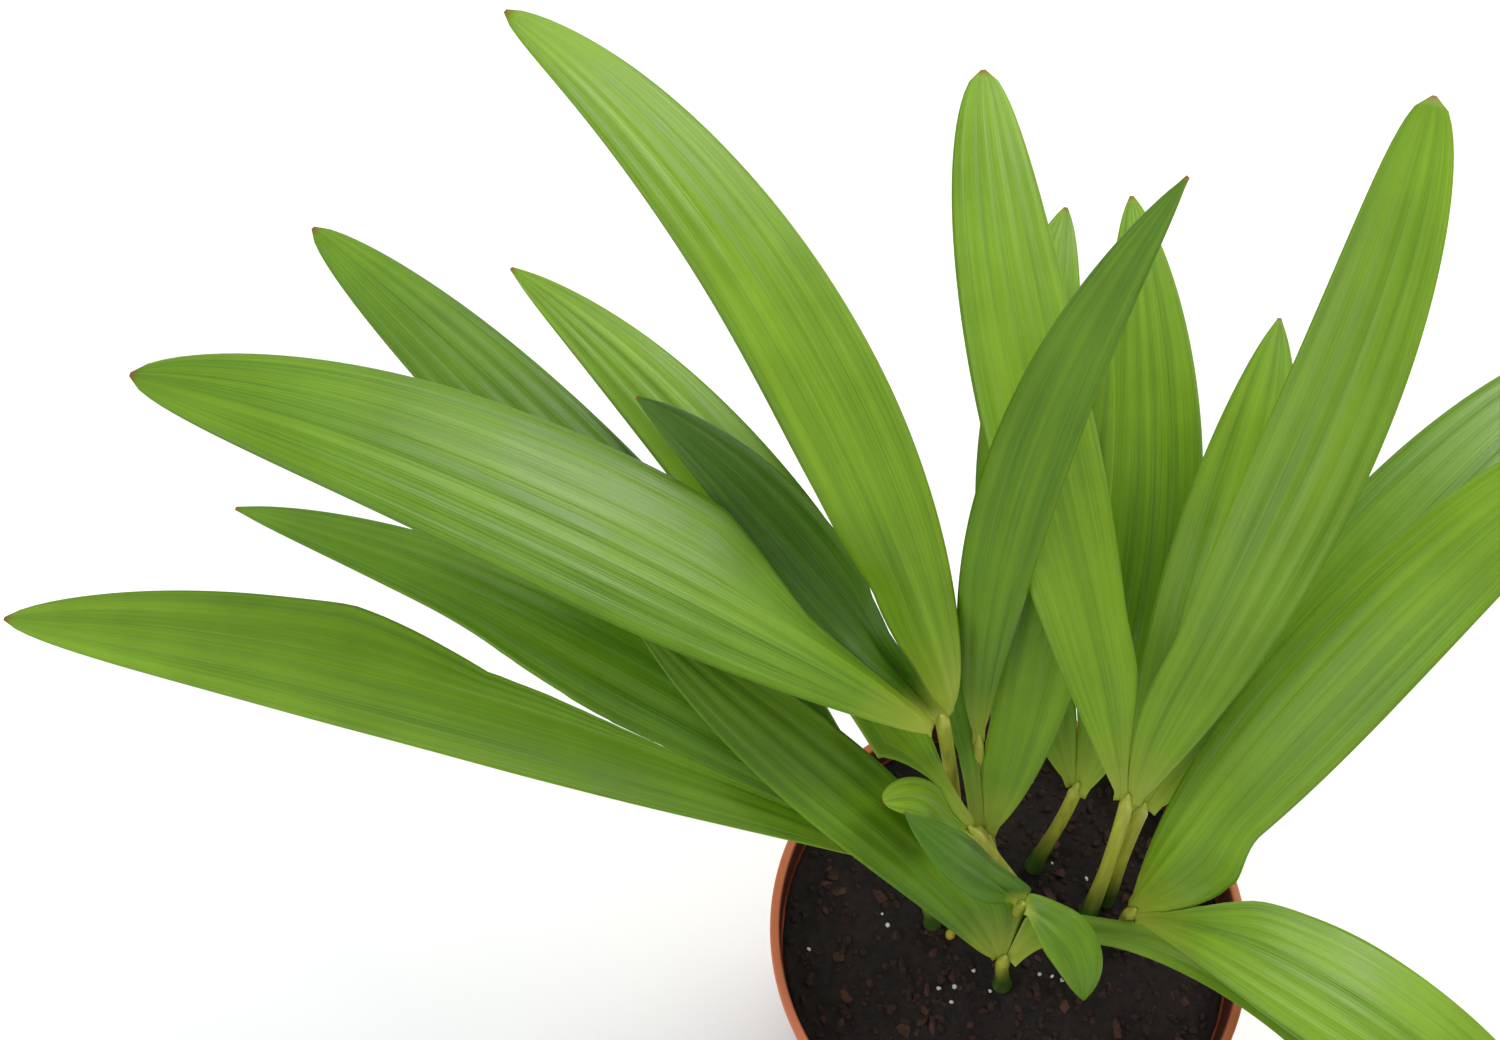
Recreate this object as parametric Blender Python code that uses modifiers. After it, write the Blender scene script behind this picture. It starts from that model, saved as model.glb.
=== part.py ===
"""Young areca palm: a clump of seedlings with lobed leaves, in a round plastic nursery pot.

Metres, +Z up. The origin is the middle of the pot's flat underside, and -Y is the front.
Every leaf is a petiole and one to three lobes. All of them follow the rule in petiole_path
and lobe_edges, from the sizes in LEAVES.
"""

import math

import bmesh
import bpy
from mathutils import Vector

# Pot
POT_HEIGHT = 0.105
POT_RIM_RADIUS = 0.060
POT_COLLAR_RADIUS = 0.0586
POT_COLLAR_FOOT = 0.091
POT_STEP_RADIUS = 0.0555
POT_STEP_FOOT = 0.088
POT_FOOT_RADIUS = 0.042
POT_WALL = 0.0014
POT_FLOOR = 0.0025
POT_RIM_BEAD = 0.0024
POT_STEPS = 64

# Compost
COMPOST_TOP = 0.093
GAP = 0.0003

# Petioles
PETIOLE_FOOT_RADIUS = 0.0026
PETIOLE_TOP_RADIUS = 0.0017
PETIOLE_SWELLING = 0.6
PETIOLE_LIFT = 0.0006
PETIOLE_POINTS = 9
PETIOLE_FOOT_HANDLE = 0.2
PETIOLE_TOP_HANDLE = 0.3
PETIOLE_FOLLOWS_LEAF = 0.25

# Lobes
LOBE_SEGMENTS = 12
LOBE_START_WIDTH = 0.003
LOBE_TIP_WIDTH = 0.0022
LOBE_START_STEP = 0.0035
LOBE_START_LIFT = 0.0004
LOBE_TURN_LIFT = 0.0009
LOBE_TIP_HANDLE = 0.42
LOBE_LEAST_THICKNESS = 0.0011
LOBE_THICKNESS_SHARE = 0.0105
LOBE_ARCH = 0.05
SEAM_GAP = 0.0011
SEAM_THICKNESS_SHARE = 0.75
SEAM_LEAST_CLOSING = 0.05
SEAM_END = 0.15
SEAM_LEAST_WIDTH = 0.00035
LOBE = {"turn": 0, "droop": 20, "start": 0.14, "blunt": 0.6, "widest": 0.5, "base_power": 0.75}

# Each leaf: where its petiole leaves the compost, where its lobes begin, the share of the
# length over which neighbouring lobes are joined, and its lobes from left to right as seen
# from the stem. A lobe has its tip and width, how far its tip turns left and droops, in
# degrees, how blunt it ends, where it is widest, the share of its length in which it leaves
# the petiole, and the heading and rise with which it does, where that isn't the petiole's.
LEAVES = {
    "a": {
        "foot": (-0.018, 0.005), "base": (-0.031, 0.010, 0.138), "joined": (0.50, 0.30),
        "lobes": {
            "left": {"tip": (-0.233, 0.047, 0.190), "width": 0.030, "turn": 6, "droop": 22,
                     "start": 0.12, "blunt": 0.65},
            "middle": {"tip": (-0.184, 0.075, 0.190), "width": 0.022, "turn": 8, "droop": 22,
                       "start": 0.20, "blunt": 0.75, "widest": 0.40},
            "right": {"tip": (-0.168, 0.138, 0.212), "width": 0.027, "turn": 2, "start": 0.20,
                      "base_power": 1.2},
        },
    },
    "b": {
        "foot": (-0.012, 0.032), "base": (-0.0215, 0.027, 0.178), "joined": (0.20, 0.20),
        "follow": 0.05,
        "lobes": {
            "left": {"tip": (-0.196, 0.081, 0.240), "width": 0.037, "turn": 8, "droop": 22,
                     "start": 0.10, "widest": 0.46},
            "middle": {"tip": (-0.090, 0.086, 0.222), "width": 0.018, "turn": 10, "droop": 15,
                       "start": 0.20, "blunt": 0.8, "aim": (138, 5), "base_power": 1.2},
            "right": {"tip": (-0.116, 0.145, 0.280), "width": 0.026, "turn": 22, "droop": 22,
                      "blunt": 0.58, "widest": 0.45},
        },
    },
    "c": {
        "foot": (0.008, 0.005), "base": (-0.0115, 0.0125, 0.142), "joined": (0.25,),
        "lobes": {
            "left": {"tip": (-0.035, 0.010, 0.172), "width": 0.012, "turn": 20, "droop": 25,
                     "start": 0.30, "blunt": 0.5, "aim": (165, 30)},
            "right": {"tip": (-0.121, 0.128, 0.210), "width": 0.024, "turn": 10, "blunt": 0.75,
                      "base_power": 1.6},
        },
    },
    "d": {
        "foot": (0.004, 0.010), "base": (-0.0083, 0.0155, 0.132), "joined": (0.14,),
        "lobes": {
            "left": {"tip": (-0.073, 0.150, 0.230), "width": 0.020, "start": 0.22, "blunt": 0.75,
                     "aim": (98, 62), "base_power": 2.2},
            "right": {"tip": (0.014, 0.099, 0.228), "width": 0.020, "droop": 15, "start": 0.25,
                      "blunt": 0.8, "aim": (60, 60)},
        },
    },
    "e": {
        "foot": (0.022, 0.007), "base": (0.021, 0.012, 0.165), "joined": (0.14,),
        "lobes": {
            "left": {"tip": (-0.013, 0.154, 0.250), "width": 0.025, "turn": -12, "droop": 18,
                     "blunt": 0.5, "widest": 0.55},
            "right": {"tip": (0.070, 0.115, 0.290), "width": 0.023, "turn": 14, "droop": 18,
                      "blunt": 0.45, "widest": 0.55},
        },
    },
    "f": {
        "foot": (0.009, 0.020), "base": (0.015, 0.027, 0.130), "joined": (0.20,),
        "lobes": {
            "left": {"tip": (0.013, 0.156, 0.195), "width": 0.025, "turn": -16, "start": 0.30,
                     "blunt": 0.7, "aim": (115, 35)},
            "right": {"tip": (0.025, 0.145, 0.215), "width": 0.025, "turn": 12, "start": 0.30,
                      "blunt": 0.7, "aim": (60, 50)},
        },
    },
    "g": {
        "foot": (0.030, 0.000), "base": (0.0285, 0.000, 0.119), "joined": (0.14,),
        "lobes": {
            "left": {"tip": (0.128, 0.076, 0.240), "width": 0.027, "turn": -9, "droop": 25,
                     "start": 0.30, "blunt": 0.7},
            "right": {"tip": (0.134, -0.070, 0.090), "width": 0.030, "turn": -18, "droop": 55,
                      "start": 0.22, "blunt": 0.7, "widest": 0.4, "aim": (-3, 46)},
        },
    },
    "h": {
        "foot": (-0.001, -0.011), "base": (-0.003, -0.011, 0.115), "joined": (0.14,),
        "lobes": {
            "left": {"tip": (-0.092, 0.047, 0.195), "width": 0.022, "turn": -4, "droop": 15,
                     "start": 0.25, "blunt": 0.8, "aim": (125, 55), "base_power": 0.55},
            "right": {"tip": (0.088, -0.042, 0.080), "width": 0.009, "turn": -28, "droop": 50,
                      "start": 0.35, "blunt": 0.8, "widest": 0.45, "aim": (44, 8)},
        },
    },
    "k": {
        "foot": (0.027, 0.011), "base": (0.027, 0.015, 0.150), "joined": (0.20,),
        "lobes": {
            "left": {"tip": (0.056, 0.111, 0.215), "width": 0.024, "turn": 5, "blunt": 0.8},
            "right": {"tip": (0.148, 0.126, 0.185), "width": 0.028, "turn": -5, "droop": 22,
                      "blunt": 0.7, "aim": (45, 20)},
        },
    },
    "m": {
        "foot": (-0.002, 0.017), "base": (-0.011, 0.030, 0.156), "joined": (), "thin": 0.7,
        "lobes": {
            "only": {"tip": (0.017, 0.088, 0.300), "width": 0.017, "turn": -30, "droop": 8,
                     "start": 0.33, "blunt": 0.8},
        },
    },
    "n": {
        "foot": (0.000, 0.000), "base": (-0.0005, -0.003, 0.136), "joined": (0.14,), "thin": 0.75,
        "lobes": {
            "left": {"tip": (-0.0305, 0.007, 0.174), "width": 0.013, "turn": -20, "droop": 30,
                     "start": 0.20, "blunt": 0.9, "widest": 0.45, "aim": (150, 40)},
            "right": {"tip": (0.015, -0.022, 0.121), "width": 0.013, "turn": -30, "droop": 40,
                      "start": 0.50, "blunt": 0.9, "widest": 0.4, "aim": (-22, -8)},
        },
    },
    "p": {
        "foot": (-0.014, -0.040), "base": (-0.020, -0.050, 0.138), "joined": (0.14,),
        "lobes": {
            "left": {"tip": (-0.062, -0.205, 0.215), "width": 0.027, "turn": -8, "droop": 25},
            "right": {"tip": (-0.160, -0.125, 0.205), "width": 0.029, "turn": 10, "droop": 25},
        },
    },
    "q": {
        "foot": (0.017, -0.037), "base": (0.022, -0.048, 0.145), "joined": (0.14,),
        "lobes": {
            "left": {"tip": (0.150, -0.135, 0.205), "width": 0.028, "turn": 8, "droop": 25},
            "right": {"tip": (0.030, -0.210, 0.225), "width": 0.026, "turn": 6, "droop": 25},
        },
    },
}
UP = Vector((0, 0, 1))

for old in list(bpy.data.objects):
    bpy.data.objects.remove(old)

palm = bpy.data.collections.new("young_areca_palm")
bpy.context.scene.collection.children.link(palm)


def add_material(name, colour, roughness):
    material = bpy.data.materials.new(name)
    material.use_nodes = True
    shader = material.node_tree.nodes["Principled BSDF"]
    shader.inputs["Base Color"].default_value = (*colour, 1)
    shader.inputs["Roughness"].default_value = roughness
    shader.inputs["Metallic"].default_value = 0
    return material


def add_object(name, data, material):
    obj = bpy.data.objects.new(name, data)
    palm.objects.link(obj)
    data.materials.append(material)
    return obj


def add_lathe(name, profile, material):
    mesh = bpy.data.meshes.new(name)
    edges = [(i, i + 1) for i in range(len(profile) - 1)]
    mesh.from_pydata([(radius, 0, z) for radius, z in profile], edges, [])
    obj = add_object(name, mesh, material)
    screw = obj.modifiers.new("Turn", "SCREW")
    screw.steps = POT_STEPS
    screw.render_steps = POT_STEPS
    screw.use_merge_vertices = True
    screw.merge_threshold = 0.00001
    screw.use_normal_flip = True
    return obj


def heading_rise(heading, rise):
    heading = math.radians(heading)
    rise = math.radians(rise)
    level = math.cos(rise)
    return Vector((math.cos(heading) * level, math.sin(heading) * level, math.sin(rise)))


def bezier(start, leave, arrive, end, t):
    s = 1 - t
    return s * s * s * start + 3 * s * s * t * leave + 3 * s * t * t * arrive + t * t * t * end


def chord(leaf, lobe):
    return (Vector(lobe["tip"]) - Vector(leaf["base"])).normalized()


def petiole_path(leaf):
    """The petiole's centre line, and the direction in which it ends."""
    foot = Vector((*leaf["foot"], COMPOST_TOP + PETIOLE_LIFT))
    base = Vector(leaf["base"])
    length = (base - foot).length
    mean = sum((chord(leaf, lobe) for lobe in leaf["lobes"].values()), Vector()).normalized()
    follow = leaf.get("follow", PETIOLE_FOLLOWS_LEAF)
    top = ((base - foot).normalized() + mean * follow).normalized()
    leave = foot + UP * length * PETIOLE_FOOT_HANDLE
    arrive = base - top * length * PETIOLE_TOP_HANDLE
    steps = [i / (PETIOLE_POINTS - 1) for i in range(PETIOLE_POINTS)]
    return [bezier(foot, leave, arrive, base, t) for t in steps], top


def petiole_radius(leaf, t):
    swelling = max(1 - t / PETIOLE_SWELLING, 0) ** 1.5
    radius = PETIOLE_TOP_RADIUS + (PETIOLE_FOOT_RADIUS - PETIOLE_TOP_RADIUS) * swelling
    return radius * leaf.get("thin", 1)


def add_petiole(name, leaf, material):
    points, _ = petiole_path(leaf)
    curve = bpy.data.curves.new(name, "CURVE")
    curve.dimensions = "3D"
    curve.bevel_depth = 1
    curve.bevel_resolution = 2
    curve.use_fill_caps = True
    spline = curve.splines.new("POLY")
    spline.points.add(len(points) - 1)
    for i, place in enumerate(points):
        spline.points[i].co = (*place, 1)
        spline.points[i].radius = petiole_radius(leaf, i / (len(points) - 1))
    return add_object(name, curve, material)


def half_width(lobe, u):
    if u < lobe["widest"]:
        share = math.sin(math.pi / 2 * u / lobe["widest"]) ** lobe["base_power"]
    else:
        share = (1 - ((u - lobe["widest"]) / (1 - lobe["widest"])) ** 2) ** lobe["blunt"]
    least = LOBE_START_WIDTH if u < 0.5 else LOBE_TIP_WIDTH
    return max(lobe["width"] * share, least) / 2


def seam_normal(leaf, left, right):
    """The normal of the plane between two neighbouring lobes, towards the left one."""
    a = chord(leaf, left)
    b = chord(leaf, right)
    middle = (a * right["width"] + b * left["width"]).normalized()
    normal = a - b
    return (normal - middle * normal.dot(middle)).normalized()


def lobe_edges(leaf, key):
    """Left edge, middle line, right edge and normal along a lobe, and the lobe's length."""
    lobes = [{**LOBE, **lobe} for lobe in leaf["lobes"].values()]
    place = list(leaf["lobes"]).index(key)
    lobe = lobes[place]
    base = Vector(leaf["base"])
    _, top = petiole_path(leaf)
    across = Vector()
    if len(lobes) > 1:
        across = chord(leaf, lobes[0]) - chord(leaf, lobes[-1])
        across = (across - top * across.dot(top)).normalized()
    centre = (len(lobes) - 1) / 2
    step = LOBE_START_STEP * leaf.get("thin", 1)
    away = heading_rise(*lobe["aim"]) if "aim" in lobe else top
    lift = LOBE_START_LIFT + LOBE_TURN_LIFT * math.sin(away.angle(top))
    start = base + top * lift + across * (centre - place) * step
    tip = Vector(lobe["tip"])
    line = tip - base
    heading = math.degrees(math.atan2(line.y, line.x)) + lobe["turn"]
    rise = math.degrees(math.asin(line.z / line.length)) - lobe["droop"]
    arriving = heading_rise(heading, rise)
    leave = start + away * line.length * lobe["start"]
    arrive = tip - arriving * line.length * LOBE_TIP_HANDLE
    count = LOBE_SEGMENTS + 1
    middle = [bezier(start, leave, arrive, tip, i / LOBE_SEGMENTS) for i in range(count)]
    along = [(middle[min(i + 1, count - 1)] - middle[max(i - 1, 0)]).normalized() for i in range(count)]
    along[0] = away
    along[-1] = arriving
    run = [0]
    for i in range(LOBE_SEGMENTS):
        run.append(run[-1] + (middle[i + 1] - middle[i]).length)
    thickness = max(LOBE_LEAST_THICKNESS, run[-1] * LOBE_THICKNESS_SHARE)
    left = []
    right = []
    normals = []
    for i in range(count):
        u = run[i] / run[-1]
        side = along[i].cross(UP).normalized()
        normal = side.cross(along[i])
        half = half_width(lobe, u)
        reach = {-1: half, 1: half}
        for edge in (-1, 1):
            other = place + edge
            if not 0 <= other < len(lobes):
                continue
            seam = min(place, other)
            plane = seam_normal(leaf, lobes[seam], lobes[seam + 1]) * edge
            through = base + across * (centre - seam - 0.5) * step
            distance = (middle[i] - through).dot(plane)
            closing = -side.dot(plane) * edge
            if closing <= SEAM_LEAST_CLOSING:
                continue
            room = distance - SEAM_GAP - SEAM_THICKNESS_SHARE * thickness * abs(normal.dot(plane))
            narrow = min(half, max(room / closing, SEAM_LEAST_WIDTH))
            free = min(max((u - leaf["joined"][seam]) / SEAM_END, 0), 1)
            reach[edge] = narrow + (half - narrow) * free
        left.append(middle[i] - side * reach[-1])
        right.append(middle[i] + side * reach[1])
        normals.append(normal)
    return left, middle, right, normals, thickness


def add_lobe(name, leaf, key, material):
    left, middle, right, normals, thickness = lobe_edges(leaf, key)
    shape = bmesh.new()
    bmesh.ops.create_grid(shape, x_segments=LOBE_SEGMENTS, y_segments=2, size=1)
    for vert in shape.verts:
        i = round((vert.co.x + 1) / 2 * LOBE_SEGMENTS)
        lower = normals[i] * (left[i] - right[i]).length * LOBE_ARCH
        if vert.co.y > 0.5:
            vert.co = left[i] - lower
        elif vert.co.y < -0.5:
            vert.co = right[i] - lower
        else:
            vert.co = middle[i]
    mesh = bpy.data.meshes.new(name)
    shape.to_mesh(mesh)
    shape.free()
    obj = add_object(name, mesh, material)
    solid = obj.modifiers.new("Thickness", "SOLIDIFY")
    solid.thickness = thickness
    solid.offset = 0
    return obj


def pot_profile():
    floor_radius = POT_FOOT_RADIUS - POT_WALL
    return [
        (0, 0),
        (POT_FOOT_RADIUS, 0),
        (POT_STEP_RADIUS, POT_STEP_FOOT),
        (POT_COLLAR_RADIUS, POT_COLLAR_FOOT),
        (POT_COLLAR_RADIUS, POT_HEIGHT - POT_RIM_BEAD),
        (POT_RIM_RADIUS, POT_HEIGHT - POT_RIM_BEAD),
        (POT_RIM_RADIUS, POT_HEIGHT),
        (POT_RIM_RADIUS - POT_RIM_BEAD, POT_HEIGHT),
        (POT_COLLAR_RADIUS - POT_WALL, POT_COLLAR_FOOT + POT_WALL),
        (POT_STEP_RADIUS - POT_WALL, POT_STEP_FOOT + POT_WALL),
        (floor_radius, POT_FLOOR),
        (0, POT_FLOOR),
    ]


def compost_profile():
    clear = POT_WALL + GAP
    return [
        (0, POT_FLOOR + GAP),
        (POT_FOOT_RADIUS - clear, POT_FLOOR + GAP),
        (POT_STEP_RADIUS - clear - GAP, POT_STEP_FOOT + POT_WALL),
        (POT_COLLAR_RADIUS - clear - GAP, COMPOST_TOP),
        (0, COMPOST_TOP),
    ]


def add_leaves():
    petiole_green = add_material("petiole_yellow_green", (0.38, 0.39, 0.05), 0.45)
    for letter, leaf in LEAVES.items():
        add_petiole(f"petiole_{letter}", leaf, petiole_green)
        for key in leaf["lobes"]:
            name = f"frond_{letter}_{key}"
            green = add_material(f"{name}_green", (0.20, 0.36, 0.03), 0.42)
            add_lobe(name, leaf, key, green)


add_lathe("pot", pot_profile(), add_material("terracotta_plastic", (0.36, 0.085, 0.030), 0.5))
add_lathe("compost", compost_profile(), add_material("moist_compost", (0.013, 0.006, 0.004), 0.95))
add_leaves()
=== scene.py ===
import math
import random

import bmesh
import bpy
from mathutils import Matrix, Vector, noise


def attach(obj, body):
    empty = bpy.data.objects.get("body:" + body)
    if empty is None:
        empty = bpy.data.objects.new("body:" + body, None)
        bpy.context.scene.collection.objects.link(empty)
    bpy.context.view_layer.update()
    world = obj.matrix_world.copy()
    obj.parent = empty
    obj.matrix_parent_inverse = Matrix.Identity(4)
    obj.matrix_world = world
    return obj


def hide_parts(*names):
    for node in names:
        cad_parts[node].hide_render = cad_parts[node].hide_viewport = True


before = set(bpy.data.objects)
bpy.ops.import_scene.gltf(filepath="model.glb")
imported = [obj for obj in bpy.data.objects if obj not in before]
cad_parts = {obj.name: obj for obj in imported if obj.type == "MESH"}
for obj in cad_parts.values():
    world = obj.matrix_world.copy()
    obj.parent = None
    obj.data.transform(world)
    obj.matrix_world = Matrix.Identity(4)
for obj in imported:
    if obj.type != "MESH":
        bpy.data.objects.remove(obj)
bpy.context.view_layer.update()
up = Vector((0, 0, 1))
compostTop = 0.093  # metres above the floor, like every height here

# The photo's view: degrees below the horizontal, lens and sensor in millimetres
view = {"place": (-0.065, -0.1462, 0.6182), "down": 63, "lens": 50, "sensor": 36, "clipStart": 0.01}


def addCamera():
    camera = bpy.data.cameras.new("photoCamera")
    camera.lens = view["lens"]
    camera.sensor_width = view["sensor"]
    camera.clip_start = view["clipStart"]
    holder = bpy.data.objects.new("photoCamera", camera)
    bpy.context.scene.collection.objects.link(holder)
    holder.location = view["place"]
    holder.rotation_euler = (math.radians(90 - view["down"]), 0, 0)
    bpy.context.scene.camera = holder


addCamera()
print("camera set")

mixShare = 0  # the sockets of a colour Mix node
mixFirst = 6
mixSecond = 7
mixResult = 2
# a Map Range node's inputs, in the order in which each range below lists them
rangeInputs = ("From Min", "From Max", "To Min", "To Max")


# sRGB hex to the linear colour that Blender's sockets take
def linear(hexColour):
    parts = [int(hexColour[i:i + 2], 16) / 255 for i in (1, 3, 5)]
    return (*[p / 12.92 if p <= 0.04045 else ((p + 0.055) / 1.055) ** 2.4 for p in parts], 1.0)


def addNode(tree, kind, inputs=None, links=None, **settings):
    node = tree.nodes.new(kind)
    for name, value in settings.items():
        setattr(node, name, value)
    for name, value in (inputs or {}).items():
        node.inputs[name].default_value = value
    for name, source in (links or {}).items():
        tree.links.new(source, node.inputs[name])
    return node


def newMaterial(name, values):
    material = bpy.data.materials.new(name)
    material.use_nodes = True
    tree = material.node_tree
    shader = tree.nodes["Principled BSDF"]
    for socket, value in values.items():
        shader.inputs[socket].default_value = value
    return material, tree, shader


def meshOf(name, shape):
    mesh = bpy.data.meshes.new(name)
    shape.to_mesh(mesh)
    shape.free()
    return mesh


def addPiece(name, mesh, material, nodes, smooth=True):
    piece = bpy.data.objects.new(name, mesh)
    bpy.context.scene.collection.objects.link(piece)
    mesh.materials.append(material)
    if smooth:
        mesh.shade_smooth()
    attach(piece, "root")
    if nodes:
        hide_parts(*nodes)
    return piece


# Leaf blades
# Areca seedling leaf: waxy cuticle over parallel veins. The eye sees fine light and dark
# streaks along the blade, broad soft bands between the folds, and a satin sheen.
# Three copies of one leaf green for the lobes: partly the lobes' own differing tone, and the mid and deep
# copies are also painted shade for lobes that lie in other lobes' shadow.
leafTonesAndShade = {
    "light": ("#6F9116", "#557A0E", "#849D24"),
    "mid": ("#5F8310", "#466D0C", "#76921A"),
    "deep": ("#446C0E", "#305509", "#5F8018"),
}
# Real veins are 0.3 to 0.5 mm apart, so a 25 mm blade shows about 60, and its soft bands are
# about 4 mm wide, so 7. Blotches are 18 mm across, so 55 to the metre.
leafFinish = {
    "veins": {"across": 60, "along": 3.0, "noise": {"Scale": 1.0, "Detail": 3.0, "Roughness": 0.6}},
    "bands": {"across": 7, "along": 1.4, "noise": {"Scale": 1.0, "Detail": 2.0}},
    "blotches": {"Scale": 55.0, "Detail": 4.0},
    "veinRange": (0.40, 0.62), "veinShare": 0.45, "bandRange": (0.35, 0.65),
    "foot": "#A3A93C", "footRange": (0.13, 0.0, 0.0, 0.75), "tip": "#8A5A2A", "tipRange": (0.990, 1.000),
    "brightRange": (0.3, 0.75, 0.90, 1.10), "roughRange": (0.35, 0.65, 0.30, 0.46),
    "bump": {"Distance": 0.00012, "Strength": 0.8},
    "shader": {
        "IOR": 1.45, "Specular IOR Level": 0.36,
        "Subsurface Weight": 0.35, "Subsurface Radius": (0.6, 1.0, 0.15), "Subsurface Scale": 0.0012,
    },
}


def leafMaterial(tone):
    finish = leafFinish
    main, dark, pale = leafTonesAndShade[tone]
    material, tree, shader = newMaterial(f"areca leaf {tone}", finish["shader"])
    uv = addNode(tree, "ShaderNodeUVMap", uv_map="blade")
    patterns = []
    for pattern in (finish["veins"], finish["bands"]):
        stretch = addNode(tree, "ShaderNodeMapping", {"Scale": (pattern["along"], pattern["across"], 1.0)},
                          {"Vector": uv.outputs[0]})
        patterns.append(addNode(tree, "ShaderNodeTexNoise", pattern["noise"], {"Vector": stretch.outputs[0]}))
    veins, bands = patterns
    place = addNode(tree, "ShaderNodeTexCoord")
    blotches = addNode(tree, "ShaderNodeTexNoise", finish["blotches"], {"Vector": place.outputs["Object"]})
    veinRamp = addNode(tree, "ShaderNodeMapRange", dict(zip(rangeInputs, finish["veinRange"])),
                       {"Value": veins.outputs[0]})
    bandRamp = addNode(tree, "ShaderNodeMapRange", dict(zip(rangeInputs, finish["bandRange"])),
                       {"Value": bands.outputs[0]})
    base = addNode(tree, "ShaderNodeMix", {mixFirst: linear(main), mixSecond: linear(dark)},
                   {mixShare: bandRamp.outputs[0]}, data_type="RGBA")
    veinShare = addNode(tree, "ShaderNodeMath", {1: finish["veinShare"]}, {0: veinRamp.outputs[0]},
                        operation="MULTIPLY")
    streaked = addNode(tree, "ShaderNodeMix", {mixSecond: linear(pale)},
                       {mixShare: veinShare.outputs[0], mixFirst: base.outputs[mixResult]}, data_type="RGBA")
    # The lowest eighth of a blade fades to the yellow of the stalk, and the last hundredth is dry.
    split = addNode(tree, "ShaderNodeSeparateXYZ", links={0: uv.outputs[0]})
    foot = addNode(tree, "ShaderNodeMapRange", dict(zip(rangeInputs, finish["footRange"])),
                   {"Value": split.outputs[0]})
    yellowed = addNode(tree, "ShaderNodeMix", {mixSecond: linear(finish["foot"])},
                       {mixShare: foot.outputs[0], mixFirst: streaked.outputs[mixResult]}, data_type="RGBA")
    tip = addNode(tree, "ShaderNodeMapRange", dict(zip(rangeInputs, finish["tipRange"])),
                  {"Value": split.outputs[0]})
    tipped = addNode(tree, "ShaderNodeMix", {mixSecond: linear(finish["tip"])},
                     {mixShare: tip.outputs[0], mixFirst: yellowed.outputs[mixResult]}, data_type="RGBA")
    bright = addNode(tree, "ShaderNodeMapRange", dict(zip(rangeInputs, finish["brightRange"])),
                     {"Value": blotches.outputs[0]})
    finished = addNode(tree, "ShaderNodeHueSaturation",
                       links={"Value": bright.outputs[0], "Color": tipped.outputs[mixResult]})
    tree.links.new(finished.outputs[0], shader.inputs["Base Color"])
    rough = addNode(tree, "ShaderNodeMapRange", dict(zip(rangeInputs, finish["roughRange"])),
                    {"Value": blotches.outputs[0]})
    tree.links.new(rough.outputs[0], shader.inputs["Roughness"])
    bump = addNode(tree, "ShaderNodeBump", finish["bump"], {"Height": veins.outputs[0]})
    tree.links.new(bump.outputs[0], shader.inputs["Normal"])
    return material


leafMaterials = {tone: leafMaterial(tone) for tone in leafTonesAndShade}

bladeShape = {
    "along": 84, "across": 24, "thickness": 0.00035, "startWidth": 0.003, "tipWidth": 0.0008,
    "arch": 0.05, "startStep": 0.0035, "startLift": 0.0004, "turnLift": 0.0009, "tipHandle": 0.42,
    "seamGap": 0.00005, "seamEnd": 0.15, "seamLeast": 0.00035, "closing": 0.05,
    "shareFrom": 0.75, "shareLength": 0.5, "shareLeast": 0.1,
    "pleatSpacing": 0.0045, "pleatHeight": 0.00045, "pleatDrop": 0.6, "flatFoot": 0.10,
    "waveHeight": 0.0007, "waveLength": 0.045, "waveAcross": 0.8, "waveMiddle": 0.4, "waveStep": 7.3,
    "uvStep": 0.37,
}
petioleShape = {
    "lift": 0.0004, "footRadius": 0.0026, "topRadius": 0.0017, "swelling": 0.6, "swellingPower": 1.5,
    "rings": 28, "sides": 14, "footHandle": 0.2, "topHandle": 0.3, "follow": 0.25,
    "reach": 0.004, "reachRings": 4, "narrowing": 0.2,
}
lobeDefaults = {
    "turn": 0, "droop": 20, "start": 0.14, "blunt": 0.6, "widest": 0.5, "basePower": 0.75, "tone": "light",
}
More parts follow.
